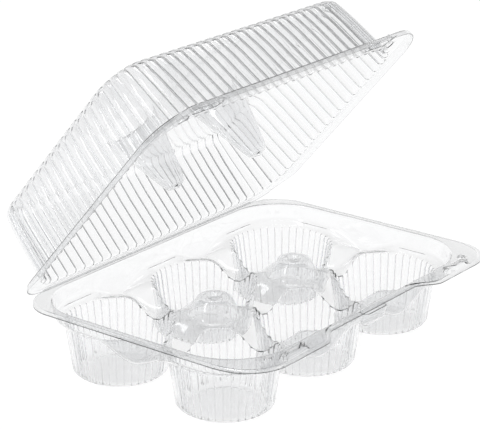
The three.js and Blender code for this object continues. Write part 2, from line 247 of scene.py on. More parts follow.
class Sheet:
    """A thin sheet that is grown row by row out of closed rows of points."""

    def __init__(self) -> None:
        """Starts an empty sheet."""
        self.mesh = bmesh.new()

    def start(self, row: Points) -> Ring:
        """Makes the first closed row of a sheet and returns its points in order."""
        made = bmesh.ops.create_circle(self.mesh, cap_ends=False, radius=1.0, segments=len(row))
        ring = list(made["verts"])
        for vert, place in zip(ring, row):
            vert.co = place
        return ring

    def edges(self, ring: Ring) -> list[bmesh.types.BMEdge]:
        """Returns the edges that join a closed row."""
        return [self.mesh.edges.get(pair) for pair in zip(ring, ring[1:] + ring[:1])]

    def grow(self, ring: Ring, row: Points) -> Ring:
        """Extrudes a closed row to the next one.

        Args:
            ring: The row to grow from.
            row: Where each of its points goes.

        Returns:
            The new row.
        """
        made = bmesh.ops.extrude_edge_only(self.mesh, edges=self.edges(ring))["geom"]
        fresh = {item for item in made if isinstance(item, bmesh.types.BMVert)}
        grown = []
        for vert, place in zip(ring, row):
            above = next(e.other_vert(vert) for e in vert.link_edges if e.other_vert(vert) in fresh)
            above.co = place
            grown.append(above)
        return grown

    def loft(self, rows: Sequence[Points], capped: bool = False) -> tuple[Ring, Ring]:
        """Grows a sheet through rows of points, the first of them closed if it is capped.

        Args:
            rows: The rows, in order.
            capped: True to close the first row with a flat face.

        Returns:
            The first and the last row.
        """
        first = ring = self.start(rows[0])
        if capped:
            self.close(first)
        for row in rows[1:]:
            ring = self.grow(ring, row)
        return first, ring

    def close(self, ring: Ring) -> None:
        """Closes a row with one flat face."""
        bmesh.ops.contextual_create(self.mesh, geom=self.edges(ring))

    def plate(self, rings: Sequence[Ring]) -> None:
        """Fills the flat space between an outer row and the rows of the holes in it."""
        edges = [edge for ring in rings for edge in self.edges(ring)]
        bmesh.ops.triangle_fill(self.mesh, use_beauty=True, use_dissolve=False, edges=edges)

    def weld(self) -> None:
        """Joins rows that lie on each other."""
        bmesh.ops.remove_doubles(self.mesh, verts=self.mesh.verts, dist=WELD)

    def open_edge(self) -> Ring:
        """Returns the points of the sheet's one open edge, in order."""
        follow: dict[bmesh.types.BMVert, list[bmesh.types.BMVert]] = {}
        for edge in self.mesh.edges:
            if edge.is_boundary:
                first, second = edge.verts
                follow.setdefault(first, []).append(second)
                follow.setdefault(second, []).append(first)
        start = max(follow, key=lambda vert: (vert.co.x, -abs(vert.co.y)))
        ahead = max(follow[start], key=lambda vert: vert.co.y)
        ring = [start]
        before = start
        while ahead is not start:
            ring.append(ahead)
            before, ahead = ahead, next(v for v in follow[ahead] if v is not before)
        return ring

    def smooth(self, chosen: Callable[[Vector], bool], times: int) -> None:
        """Rounds off the creases of the chosen points."""
        verts = [v for v in self.mesh.verts if not v.is_boundary and chosen(v.co)]
        for _ in range(times):
            bmesh.ops.smooth_vert(
                self.mesh, verts=verts, factor=0.5,
                use_axis_x=True, use_axis_y=True, use_axis_z=True,
            )

    def raise_bar(self, bar: Bar, level: float) -> None:
        """Draws a bar up out of a flat stretch of the sheet.

        Args:
            bar: The bar.
            level: The height of the flat stretch.
        """
        spare = 0.1
        reach_x, reach_y = bar.length / 2 + bar.slope + spare, bar.width / 2 + bar.slope + spare

        def is_near(face: bmesh.types.BMFace) -> bool:
            """True for a level face close to the bar."""
            xs, ys, zs = zip(*(vert.co for vert in face.verts))
            return (
                all(abs(z - level) < LEVEL for z in zs)
                and min(xs) < bar.x + reach_x and max(xs) > bar.x - reach_x
                and min(ys) < bar.y + reach_y and max(ys) > bar.y - reach_y
            )

        cuts = bar.cuts()
        for place, outward in cuts:
            faces = [face for face in self.mesh.faces if is_near(face)]
            edges = {edge for face in faces for edge in face.edges}
            verts = {vert for face in faces for vert in face.verts}
            bmesh.ops.bisect_plane(
                self.mesh, geom=[*faces, *edges, *verts], dist=CUT_NEAR,
                plane_co=place, plane_no=outward,
            )
        inside = [
            face
            for face in self.mesh.faces
            if is_near(face)
            and all((face.calc_center_median() - place).dot(outward) < 0 for place, outward in cuts)
        ]
        side_wall, rounded_top = (bar.slope, 0.8), (0.5, 0.2)
        for inset, share in (side_wall, rounded_top):
            bmesh.ops.inset_region(
                self.mesh, faces=inside, thickness=inset, use_even_offset=False, use_boundary=True
            )
            verts = {vert for face in inside for vert in face.verts}
            bmesh.ops.translate(self.mesh, vec=(0, 0, bar.height * share), verts=list(verts))

    def finish(self, name: str, upward: Vector, place: Matrix) -> bpy.types.Object:
        """Turns the sheet into an object whose faces point one way.

        Args:
            name: The object's name.
            upward: A direction that the sheet's widest faces look towards.
            place: Turns and moves the sheet, in millimetres, before it is scaled to metres.

        Returns:
            The object, which sits at the origin.
        """
        faces = self.mesh.faces
        bmesh.ops.recalc_face_normals(self.mesh, faces=faces)
        if sum(face.normal.dot(upward) * face.calc_area() for face in faces) < 0:
            bmesh.ops.reverse_faces(self.mesh, faces=faces)
        turn = Matrix.Scale(METRES, 4) @ place
        bmesh.ops.transform(self.mesh, matrix=turn, verts=self.mesh.verts)
        for face in faces:
            face.smooth = True
        return to_object(self.mesh, name)


def to_object(mesh: bmesh.types.BMesh, name: str) -> bpy.types.Object:
    """Puts a mesh into the scene as an object at the origin and returns the object."""
    data = bpy.data.meshes.new(name)
    mesh.to_mesh(data)
    mesh.free()
    made = bpy.data.objects.new(name, data)
    bpy.context.scene.collection.objects.link(made)
    return made


def circle(x: float, y: float, radius: float, height: float, count: int) -> Points:
    """Returns points round a level circle, anticlockwise from +X."""
    turns = [2 * math.pi * k / count for k in range(count)]
    return [Vector((x + radius * math.cos(a), y + radius * math.sin(a), height)) for a in turns]


class Value:
    """A number in a material's nodes, so that node maths is written as expressions."""

    def __init__(self, finish: "Shader", socket: bpy.types.NodeSocket) -> None:
        """Wraps one output socket of a finish's nodes."""
        self.finish = finish
        self.socket = socket

    def maths(self, operation: str, first: object, second: object) -> "Value":
        """Returns the result of one Math node."""
        return self.finish.node(
            "ShaderNodeMath", {"operation": operation}, {0: first, 1: second}
        )["Value"]

    def __add__(self, other: object) -> "Value":
        """Adds."""
        return self.maths("ADD", self, other)

    def __mul__(self, other: object) -> "Value":
        """Multiplies."""
        return self.maths("MULTIPLY", self, other)

    def __pow__(self, other: object) -> "Value":
        """Raises to a power."""
        return self.maths("POWER", self, other)

    def __or__(self, other: object) -> "Value":
        """Returns the larger of two numbers: whether either of two tests holds."""
        return self.maths("MAXIMUM", self, other)


class Outputs:
    """The outputs of one node, read by name."""

    def __init__(self, finish: "Shader", node: bpy.types.Node) -> None:
        """Wraps a node."""
        self.finish = finish
        self.node = node

    def __getitem__(self, name: str) -> Value:
        """Returns the output with that name."""
        return Value(self.finish, self.node.outputs[name])


class Shader:
    """A node tree that is built by one method for every kind of node."""

    def __init__(self, owner: bpy.types.Material | bpy.types.World) -> None:
        """Empties the nodes of a material or a world."""
        owner.use_nodes = True
        self.tree = owner.node_tree
        self.tree.nodes.clear()

    def node(self, kind: str, settings: dict | None = None, values: dict | None = None) -> Outputs:
        """Adds a node.

        Args:
            kind: The node's type.
            settings: Its properties, set before its sockets.
            values: A number, colour or Value for each of its sockets.

        Returns:
            Its outputs.
        """
        node = self.tree.nodes.new(kind)
        for name, setting in (settings or {}).items():
            setattr(node, name, setting)
        for name, value in (values or {}).items():
            socket = node.inputs[name]
            if isinstance(value, Value):
                self.tree.links.new(value.socket, socket)
            else:
                socket.default_value = value
        return Outputs(self, node)

    def mixed(self, factor: Value, first: Value, second: Value) -> Value:
        """Returns the first shader where factor is 0 and the second where it is 1."""
        return self.node("ShaderNodeMixShader", values={0: factor, 1: first, 2: second})["Shader"]


@dataclass(frozen=True)
class ClearSheet:
    """Glossy clear plastic sheet, a little wavy from being drawn over its mould, with painted shade
    where it turns edge-on.
    """

    name: str = "clear_sheet"
    tint: Colour = (0.945, 0.948, 0.952, 1.0)
    # Painted shade: the dark colour the sheet turns to where it is edge-on to the view, standing in
    # for the darker surroundings that clear plastic reflects there.
    edge_on_painted_shade: Colour = (0.05, 0.05, 0.055, 1.0)
    painted_shade_power: float = 11.0
    light_passed: Colour = (0.98, 0.98, 0.98, 1.0)
    index: float = 1.5
    roughness: float = 0.03
    wave_size: float = 90.0
    wave_height: float = 0.00006
    wave_strength: float = 0.6
    haze_size: float = 25.0
    haze_spread: float = 0.04

    def material(self) -> bpy.types.Material:
        """Builds the material and returns it."""
        made = bpy.data.materials.new(self.name)
        shader = Shader(made)
        place = shader.node("ShaderNodeTexCoord")["Object"]
        wave = shader.node(
            "ShaderNodeTexNoise", values={"Vector": place, "Scale": self.wave_size, "Detail": 2.0}
        )["Fac"]
        haze = shader.node(
            "ShaderNodeTexNoise", values={"Vector": place, "Scale": self.haze_size, "Detail": 3.0}
        )["Fac"]
        bump = shader.node(
            "ShaderNodeBump",
            values={
                "Height": wave, "Distance": self.wave_height, "Strength": self.wave_strength,
            },
        )["Normal"]
        facing = shader.node(
            "ShaderNodeLayerWeight", values={"Blend": 0.5, "Normal": bump}
        )["Facing"]
        # Painted shade: the base colour goes from the tint to the dark edge-on grey as the sheet
        # turns edge-on.
        colour = shader.node(
            "ShaderNodeMix",
            {"data_type": "RGBA"},
            {"Factor": facing ** self.painted_shade_power, 6: self.tint, 7: self.edge_on_painted_shade},
        )
        plastic = shader.node(
            "ShaderNodeBsdfPrincipled",
            values={
                "Base Color": Value(shader, colour.node.outputs[2]),
                "Roughness": haze * self.haze_spread + (self.roughness - self.haze_spread / 2),
                "IOR": self.index,
                "Transmission Weight": 1.0,
                "Normal": bump,
            },
        )["BSDF"]
        path = shader.node("ShaderNodeLightPath")
        lit = shader.node("ShaderNodeBsdfTransparent", values={"Color": self.light_passed})["BSDF"]
        surface = shader.mixed(path["Is Shadow Ray"] | path["Is Diffuse Ray"], plastic, lit)
        shader.node("ShaderNodeOutputMaterial", values={"Surface": surface})
        return made


@dataclass(frozen=True)
class CutEdgePaintedShade(ClearSheet):
    """The sheet's cut edge, which gathers the light and looks darker; its grey colour here is
    painted shade for that look.
    """

    name: str = "cut_edge_painted_shade"
    # Painted shade: a dark grey colour on the clear plastic for the darker look of its cut edge.
    tint: Colour = (0.42, 0.43, 0.44, 1.0)
    edge_on_painted_shade: Colour = (0.2, 0.2, 0.21, 1.0)
    roughness: float = 0.25


@dataclass(frozen=True)
class Cup:
    """One fluted cup, in millimetres."""

    floor: float = 24.0
    wall: float = 26.8
    draft: float = 0.14
    flutes: int = 40
    flute: tuple[float, ...] = (-1.0, 0.55, 0.95, 1.0, 0.95, 0.55)
    flute_depth: float = 0.7
    lip: float = 31.5
    flare: float = 2.6
    rise: float = 1.3
    wall_start: float = 3.2

    @property
    def count(self) -> int:
        """The number of points round the cup."""
        return self.flutes * len(self.flute)

    @property
    def mouth(self) -> float:
        """The outer radius of the lip."""
        return self.wall + self.draft * self.lip + self.flare


@dataclass
class Tray:
    """The tray: six fluted cups, two pillars, the rim wall and the flange."""

    film: float = 0.5
    pitch: float = 78.0
    columns: int = 3
    rows: int = 2
    cup: Cup = field(default_factory=Cup)
    smooth_from: float = 0.7
    saddle: float = 21.8
    saddle_angle: float = 32.0
    gutter: float = 27.0
    gutter_half_width: float = 28.0
    shoulder: float = 31.5
    pillar_radius: float = 15.0
    deck_height: float = 35.0
    rim_height: float = 45.6
    wall_inset: float = 3.6
    lip_to_wall: tuple[float, float, float] = (0.6, 0.4, 5.2)
    flange_width: tuple[float, float, float] = (6.4, 2.8, 4.6)
    hem: float = 2.4
    flange_drop: float = 0.8
    tab_out: float = 9.2
    tab_curve: float = 17.0
    pocket_length: float = 20.0
    pocket_width: float = 5.4
    pocket_depth: float = 8.0
    pocket_points: int = 32
    rim_round: tuple[float, float] = (0.2, 3.4)
    flange_round: tuple[float, float] = (10.0, 9.2)
    straight_share: float = 0.35
    valley_passes: int = 6

    @property
    def bar(self) -> Bar:
        """The long bar on the right-hand tab, which the lid snaps over."""
        return Bar(self.column(self.columns - 1) + 3, self.flange.front - 3.4, 22.0, 4.6, 2.4)

    @property
    def nub(self) -> Bar:
        """The small nub beside the right-hand bar."""
        return Bar(self.bar.x + 16, self.flange.front + 2.6, 4.0, 4.0, 1.5, 0.3)

    @property
    def rim(self) -> Outline:
        """The inner edge of the flange, at the top of the rim wall."""
        mouth = self.cup.mouth
        end, back, front = (mouth + gap + self.wall_inset for gap in self.lip_to_wall)
        half_length, half_width = self.column(self.columns - 1), self.row(self.rows - 1)
        back_round, front_round = (mouth + more for more in self.rim_round)
        return Outline(
            half_length + end, half_width + back, -half_width - front, back_round, front_round
        )

    @property
    def deck(self) -> Outline:
        """The foot of the rim wall."""
        return self.rim.inset(self.wall_inset)

    @property
    def flange(self) -> Outline:
        """The outer edge of the flange, without its tabs."""
        rim = self.rim
        end, back, front = self.flange_width
        less_back, less_front = self.flange_round
        return Outline(
            rim.half + end, rim.back + back, rim.front - front,
            rim.back_radius - less_back, rim.front_radius - less_front,
        )

    @property
    def step(self) -> Outline:
        """The line just inside the flange's edge, where it steps down."""
        edge, hem = self.flange, self.hem
        return Outline(
            edge.half - hem, edge.back - hem / 4, edge.front + hem,
            edge.back_radius - hem / 4, edge.front_radius - 1,
        )

    @property
    def straight_points(self) -> int:
        """The points on half a straight side of a cup's cell, up to the pillar's curve."""
        return round(self.cup.count // 4 * self.straight_share)

    def column(self, index: int) -> float:
        """Returns the x of a column of cups."""
        return (index - (self.columns - 1) / 2) * self.pitch

    def row(self, index: int) -> float:
        """Returns the y of a row of cups."""
        return (index - (self.rows - 1) / 2) * self.pitch

    def has_column(self, x: float) -> bool:
        """True where a column of cups stands."""
        return abs(x) < self.column(self.columns - 1) + 1

    def has_row(self, y: float) -> bool:
        """True where a row of cups stands."""
        return abs(y) < self.row(self.rows - 1) + 1

    def wall_foot(self, point: Vector, on_end: bool) -> float:
        """Returns the height of the rim wall's foot, which dips where a gutter meets it."""
        middles = [0.0] if on_end else [self.pitch / 2, -self.pitch / 2]
        along = point.y if on_end else point.x
        away = min(abs(along - middle) for middle in middles)
        dip = math.cos(math.pi / 2 * clamp(away / self.gutter_half_width)) ** 2
        return mix(self.deck_height, self.gutter, dip)

    def seam(self, centre: Vector, point: Vector) -> float:
        """Returns the height of the sheet on the line between two neighbouring cups.

        Args:
            centre: The middle of the cup on one side of the line.
            point: A point on the line.

        Returns:
            The height there.
        """
        upright = abs(abs(point.x - centre.x) - self.pitch / 2) < NEAR
        along = abs(point.y - centre.y) if upright else abs(point.x - centre.x)
        inward = abs(point.y) < abs(centre.y) if upright else abs(point.x) < abs(centre.x)
        if inward or (centre.x == 0 and not upright):
            climb = ease(along / (self.pitch / 2 - self.pillar_radius)) ** 0.8
            return mix(self.saddle, self.shoulder, climb)
        if upright:
            room = (self.deck.back if centre.y > 0 else -self.deck.front) - abs(centre.y)
        else:
            room = self.deck.half - abs(centre.x)
        return mix(self.saddle, self.gutter, ease(along / room))

    def lip(self, centre: Vector, angle: float) -> float:
        """Returns the height of a cup's lip in one direction: it dips towards each neighbour."""
        dip = 0.0
        for step_x, step_y in ((1, 0), (0, 1), (-1, 0), (0, -1)):
            x, y = centre.x + step_x * self.pitch, centre.y + step_y * self.pitch
            if self.has_column(x) and self.has_row(y):
                turn = angle - math.atan2(step_y, step_x)
                away = abs(math.degrees(math.atan2(math.sin(turn), math.cos(turn))))
                dip = max(dip, ease(clamp(1.04 - away / self.saddle_angle)) ** 0.9)
        return mix(self.cup.lip, self.saddle, dip)

    def quarter(self, centre: Vector, right: bool, back: bool) -> Points:
        """Returns a quarter of a cup's cell edge, from its end's middle to its long side's.

        Args:
            centre: The middle of the cup.
            right: True for a quarter on the cup's right.
            back: True for a quarter on the cup's hinge side.

        Returns:
            A quarter of the cup's points, and the one that the next quarter starts with.
        """
        steps = self.cup.count // 4
        side_x, side_y = (1 if right else -1), (1 if back else -1)
        outer_x = not self.has_column(centre.x + side_x * self.pitch)
        outer_y = not self.has_row(centre.y + side_y * self.pitch)
        deck = self.deck
        edge_x = side_x * deck.half if outer_x else centre.x + side_x * self.pitch / 2
        deck_y = deck.back if back else deck.front
        edge_y = deck_y if outer_y else centre.y + side_y * self.pitch / 2
        deck_radius = deck.back_radius if back else deck.front_radius
        is_corner = outer_x and outer_y
        if is_corner:
            radius, straight = deck_radius, 3
        elif outer_x or outer_y:
            radius, straight = 0.0, steps // 2
        else:
            radius, straight = self.pillar_radius, self.straight_points
        points = [
            Vector((edge_x, mix(centre.y, edge_y - side_y * radius, k / straight), 0))
            for k in range(straight)
        ]
        curved = steps - 2 * straight
        for k in range(curved):
            turn = math.pi / 2 * k / curved
            if is_corner:
                in_x, in_y = 1 - math.cos(turn), 1 - math.sin(turn)
            else:
                in_x, in_y = math.sin(turn), math.cos(turn)
            x, y = edge_x - side_x * radius * in_x, edge_y - side_y * radius * in_y
            points.append(Vector((x, y, 0)))
        points += [
            Vector((mix(edge_x - side_x * radius, centre.x, k / straight), edge_y, 0))
            for k in range(straight + 1)
        ]
        for point in points:
            on_end = outer_x and abs(point.x - edge_x) < NEAR
            on_long = outer_y and abs(point.y - edge_y) < NEAR
            if on_end or on_long or is_corner:
                point.z = self.wall_foot(point, on_end)
            else:
                point.z = self.seam(centre, point)
        return points

    def cell(self, centre: Vector) -> Points:
        """Returns the whole edge of a cup's cell, anticlockwise from +X."""
        points: Points = []
        for right, back in ((True, True), (False, True), (False, False), (True, False)):
            run = self.quarter(centre, right, back)
            if right != back:
                run.reverse()
            points += run[:-1]
        return points

    def cup_rows(self, centre: Vector) -> list[Points]:
        """Returns the rows of one cup, from its floor to the edge of its cell."""
        cup = self.cup
        turns = [2 * math.pi * k / cup.count for k in range(cup.count)]

        def place(angle: float, radius: float, height: float) -> Vector:
            """Returns a point by its direction and distance from the cup's middle."""
            return Vector((
                centre.x + radius * math.cos(angle), centre.y + radius * math.sin(angle), height
            ))

        def flute(angle: float) -> float:
            """Returns how far the flutes stand out in one direction."""
            point = round(angle / (2 * math.pi) * cup.count) % len(cup.flute)
            return cup.flute_depth * cup.flute[point]

        floor = self.film
        rows = [
            circle(centre.x, centre.y, radius, floor + lift, cup.count)
            for radius, lift in ((8, 0.5), (20, 0.5), (21.6, 0.35), (22.6, 0.0), (cup.floor, 0.0))
        ]
        for radius, height, share in ((25.6, 0.5, 0.2), (26.6, 1.5, 0.6)):
            rows.append([place(a, radius + share * flute(a), floor + height) for a in turns])
        for share in (0, 0.3, 0.6, 0.85, 0.97):
            row = []
            for a in turns:
                height = mix(cup.wall_start, self.lip(centre, a), share)
                row.append(place(a, cup.wall + cup.draft * height + flute(a), height))
            rows.append(row)
        rounding = ((0.2, 0.35, 0.8), (0.8, 0.75, 0.5), (1.7, 0.97, 0.15), (cup.flare, 1.0, 0.0))
        for out, up, share in rounding:
            row = []
            for a in turns:
                lip = self.lip(centre, a)
                rise = cup.rise * clamp((lip - self.saddle) / (cup.lip - self.saddle))
                radius = cup.wall + cup.draft * lip + out + share * flute(a)
                row.append(place(a, radius, lip + up * rise))
            rows.append(row)
        mouth, edge = rows[-1], self.cell(centre)
        for share in (0.15, 0.3, 0.45, 0.6, 0.75, 0.88, 1.0):
            rows.append([first.lerp(last, share) for first, last in zip(mouth, edge)])
        return rows

    def pillar_rows(self, x: float) -> list[Points]:
        """Returns the rows of one pillar, from its shoulder to the dimple in its top."""
        count = 4 * (self.cup.count // 4 - 2 * self.straight_points)
        profile = (
            (self.pillar_radius, self.shoulder), (14.6, 32.6), (14.2, 34.2), (13.5, 36.4),
            (12.5, 38.6), (11.4, 40.4), (10.7, 41.8), (10.3, 42.8), (9.9, 43.4), (9.2, 43.85),
            (8.2, 44.0), (5.2, 44.0), (4.4, 43.8), (3.9, 43.2), (3.4, 42.4), (2.6, 42.15),
            (1.2, 42.1),
        )
        return [circle(x, 0, radius, height, count) for radius, height in profile]

    def with_tabs(self, point: Vector) -> Vector:
        """Returns a point of the flange moved out to the wide tab near a front corner."""
        front = ease((self.flange.front / 2 - point.y) / 30)
        across = ease((abs(point.x) - self.pitch / 2 - 2) / self.tab_curve)
        return point - Vector((0, self.tab_out * across * front, 0))

    def sheet(self) -> Sheet:
        """Grows the whole tray as one sheet and returns it."""
        sheet = Sheet()
        for i in range(self.columns):
            for j in range(self.rows):
                sheet.loft(self.cup_rows(Vector((self.column(i), self.row(j), 0))), capped=True)
        for x in (-self.pitch / 2, self.pitch / 2):
            _, dimple = sheet.loft(self.pillar_rows(x))
            sheet.close(dimple)
        sheet.weld()
        sheet.smooth(self.is_valley, self.valley_passes)
        self.grow_rim(sheet)
        for side in Side:
            sheet.raise_bar(self.bar.on(side), self.rim_height)
            sheet.raise_bar(self.nub.on(side), self.rim_height)
        self.hang_pocket(sheet)
        return sheet

    def hang_pocket(self, sheet: Sheet) -> None:
        """Hangs the little finger pocket under the middle of the front flange."""
        y, top = self.flange.front + 0.8, self.rim_height - self.flange_drop
        count = self.pocket_points
        rows = []
        for grow, depth in (
            (0.9, 0.5), (0.6, 1.6), (0.4, 4.0), (0.1, 6.6), (-0.4, 7.6), (-1.1, self.pocket_depth),
        ):
            row = circle(0, y, self.pocket_width / 2 + grow, top - depth, count)
            for k, point in enumerate(row):
                angle = 2 * math.pi * k / count
                is_right = -math.pi / 2 <= (angle + math.pi) % (2 * math.pi) - math.pi < math.pi / 2
                point.x += (1 if is_right else -1) * (self.pocket_length - self.pocket_width) / 2
            rows.append(row)
        _, bottom = sheet.loft(rows)
        sheet.close(bottom)

    def is_valley(self, point: Vector) -> bool:
        """True for the ground between the cups' lips, where the mould is rounded."""
        middle = min(
            math.hypot(point.x - self.column(i), point.y - self.row(j))
            for i in range(self.columns)
            for j in range(self.rows)
        )
        return middle > self.cup.wall + self.cup.draft * point.z + self.smooth_from

    def grow_rim(self, sheet: Sheet) -> None:
        """Grows the rim wall and the flange from the edge of the deck."""
        ring = sheet.open_edge()
        places = [self.deck.locate(vert.co) for vert in ring]
        feet = [vert.co.z for vert in ring]
        wall = (
            (2.9, 0.02), (2.35, 0.07), (1.95, 0.17), (1.45, 0.4), (0.9, 0.68),
            (0.5, 0.88), (0.25, 0.96), (-0.15, 0.99), (-0.7, 1.0),
        )
        for distance, share in wall:
            shape = self.rim.inset(distance)
            ring = sheet.grow(ring, [
                shape.point(stretch, along, mix(foot, self.rim_height, share))
                for (stretch, along), foot in zip(places, feet)
            ])
        brim = (
            (self.rim.inset(-1.1), 0.0), (self.step.inset(0.5), 0.0), (self.step, 0.15),
            (self.step.towards(self.flange, 0.2), 0.8), (self.step.towards(self.flange, 0.4), 1.0),
            (self.flange, 1.0),
        )
        for shape, drop in brim:
            row = []
            for stretch, along in places:
                point = shape.point(stretch, along, self.rim_height)
                point.z -= self.flange_drop * drop * ease((self.flange.back - point.y) / 12)
                row.append(self.with_tabs(point) if shape is not brim[0][0] else point)
            ring = sheet.grow(ring, row)

    def build(self, finishes: Sequence[bpy.types.Material]) -> bpy.types.Object:
        """Builds the tray, which rides on the body of the same name."""
        made = self.sheet().finish("tray_sheet", Vector((0, 0, 1)), Matrix.Identity(4))
        thicken(made, self.film, finishes)
        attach(made, "tray")
        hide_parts("tray")
        return made


@dataclass
class Lid:
    """The deep ribbed lid with its two cones, modelled closed and then opened."""

    tray: Tray
    film: float = 0.5
    base: float = 46.4
    rise: float = 47.0
    rib_pitch: float = 7.85
    draft: float = 5.0
    roof_round: float = 4.2
    rib_depth: float = 1.4
    rib_out: float = 1.3
    rib_marks: tuple[float, ...] = (0.0, 0.03, 0.09, 0.18, 0.32, 0.5, 0.68, 0.82, 0.91, 0.97)
    skirt: float = 2.8
    hinge_lip: float = 0.5
    cone_tip: float = 6.3
    cone_root: float = 18.5
    cone_end: float = 45.4
    cone_x: float = 39.0
    cover_gap: float = 0.5
    open_degrees: float = 49.0
    cone_points: int = 64
    front_over: float = 2.6
    foot_round: tuple[float, float] = (10.0, 7.2)
    hem_start: float = 6.0
    hem_run: float = 22.0

    @property
    def flange(self) -> Outline:
        """The outer edge of the lid's flange, which covers the tray's tabs."""
        edge = self.tray.flange
        front = edge.front - self.tray.tab_out - self.front_over
        return Outline(
            edge.half + 1.2, edge.back, front, edge.back_radius, edge.front_radius + 1
        )

    @property
    def foot(self) -> Outline:
        """The foot of the lid's wall."""
        rim = self.tray.rim
        less_back, less_front = self.foot_round
        return Outline(
            rim.half - 2.2, rim.back - 3.2, rim.front - 0.8,
            rim.back_radius - less_back, rim.front_radius - less_front,
        )

    def ribs(self) -> list[tuple[Stretch, int]]:
        """Returns the number of whole ribs on each stretch of the lid's outline."""
        foot = self.foot
        lengths = {
            Stretch.RIGHT: foot.back - foot.back_radius - foot.front - foot.front_radius,
            Stretch.BACK_RIGHT: math.pi / 2 * foot.back_radius,
            Stretch.BACK: 2 * (foot.half - foot.back_radius),
            Stretch.FRONT_LEFT: math.pi / 2 * foot.front_radius,
            Stretch.FRONT: 2 * (foot.half - foot.front_radius),
        }
        lengths[Stretch.BACK_LEFT] = lengths[Stretch.BACK_RIGHT]
        lengths[Stretch.LEFT] = lengths[Stretch.RIGHT]
        lengths[Stretch.FRONT_RIGHT] = lengths[Stretch.FRONT_LEFT]
        return [(stretch, round(lengths[stretch] / self.rib_pitch)) for stretch in Stretch]

    def ring(self, shape: Outline, height: float, depth: float) -> Points:
        """Returns a row round the lid with its ribs.

        Args:
            shape: The outline that the ribs' crests reach.
            height: The row's height.
            depth: Half the depth of the grooves between the ribs, or 0 for none.

        Returns:
            The row's points.
        """
        points: Points = []
        for stretch, ribs in self.ribs():
            for k in range(ribs):
                for share in self.rib_marks:
                    groove = 2 * (1 - math.sqrt(1 - (2 * share - 1) ** 2))
                    outer = shape.inset(groove * depth)
                    points.append(outer.point(stretch, (k + share) / ribs, height))
        return points

    def rows(self) -> list[Points]:
        """Returns the rows of the lid from the edge of its roof to its hem."""
        roof = self.base + self.rise
        foot, draft = self.foot, self.draft
        rows = []
        shoulder = (
            (-3.4, 0.0, 0.0), (-1.6, 0.0, 0.15), (0.0, 0.12, 0.6), (1.2, 0.5, 0.85),
            (2.2, 1.3, 1.0), (3.2, 2.2, 1.0), (4.0, 3.2, 1.0), (4.8, 4.6, 1.0),
        )
        for out, drop, depth in shoulder:
            shape = foot.inset(draft + self.roof_round - out)
            rows.append(self.ring(shape, roof - drop, self.rib_depth * depth))
        wall = self.rise - self.roof_round
        for share in (0.33, 0.66, 0.9, 0.97):
            shape = foot.inset(draft * (1 - share) - self.rib_out)
            rows.append(self.ring(shape, roof - self.roof_round - wall * share, self.rib_depth))
        top = self.base + self.film
        spread = ((0.3, 0.5, 0.8), (0.9, 0.15, 0.4), (1.8, 0.0, 0.0), (3.5, 0.0, 0.0))
        for out, lift, depth in spread:
            shape = foot.inset(-out - self.rib_out * depth)
            rows.append(self.ring(shape, top + lift, self.rib_depth * depth))
        for inside, lower in ((1.4, 0.0), (0.5, 0.12), (0.12, 0.5), (0.0, 1.1)):
            row = self.ring(self.flange.inset(inside), top, 0.0)
            for point in row:
                point.z -= min(lower, self.film + self.hem_depth(point))
            rows.append(row)
        hem = self.ring(self.flange, self.base, 0.0)
        for point in hem:
            point.z = self.base - self.hem_depth(point)
        rows.append(hem)
        return rows

    def hem_depth(self, point: Vector) -> float:
        """Returns how far the turned-down edge hangs: almost nothing at the crease."""
        ahead = self.flange.back - self.hem_start - point.y
        return mix(self.hinge_lip, self.skirt, ease(ahead / self.hem_run))

    def cone_rows(self, x: float) -> list[Points]:
        """Returns the rows of one cone, from the roof down to its nub."""
        roof, end = self.base + self.rise, self.cone_end
        root, tip = self.cone_root - self.film, self.cone_tip - self.film
        profile = [
            (root + 3.2, roof), (root + 1.7, roof - 0.3),
            (root + 0.6, roof - 1.1), (root - 0.2, roof - 2.6),
        ]
        profile += [
            (mix(root, tip, share), mix(roof, end + self.film, share))
            for share in (0.15, 0.4, 0.7, 0.93)
        ]
        profile += [
            (tip - 0.2, end + 1.3), (tip - 1.1, end + 0.6), (tip - 2.4, end + self.film),
            (1.5, end + self.film), (1.3, end + 0.2), (1.2, end - 1.0), (0.6, end - 1.3),
        ]
        return [circle(x, 0, radius, height, self.cone_points) for radius, height in profile]

    def opening(self, hinge: Vector) -> Matrix:
        """Returns the turn about the hinge that opens the lid, in millimetres."""
        turn = Matrix.Rotation(math.radians(-self.open_degrees), 4, "X")
        return Matrix.Translation(hinge) @ turn @ Matrix.Translation(-hinge)

    def sheet(self) -> Sheet:
        """Grows the whole lid as one sheet and returns it."""
        sheet = Sheet()
        roof_edge, _ = sheet.loft(self.rows())
        edges = [roof_edge]
        for x in (-self.cone_x, self.cone_x):
            root, nub = sheet.loft(self.cone_rows(x))
            sheet.close(nub)
            edges.append(root)
        sheet.plate(edges)
        top = self.base + self.film
        for bar in (self.tray.bar, self.tray.nub):
            lift = self.tray.rim_height + bar.height + self.cover_gap + self.film - top
            around = 2 * (self.cover_gap + self.film)
            cover = Bar(bar.x, bar.y, bar.length + around, bar.width + around, lift, 0.6)
            for side in Side:
                sheet.raise_bar(cover.on(side), top)
        return sheet

    def build(self, finishes: Sequence[bpy.types.Material], hinge: Vector) -> bpy.types.Object:
        """Builds the lid, which rides on the body of the same name."""
        made = self.sheet().finish("lid_sheet", Vector((0, 0, 1)), self.opening(hinge))
        thicken(made, self.film, finishes)
        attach(made, "lid")
        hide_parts("lid")
        return made


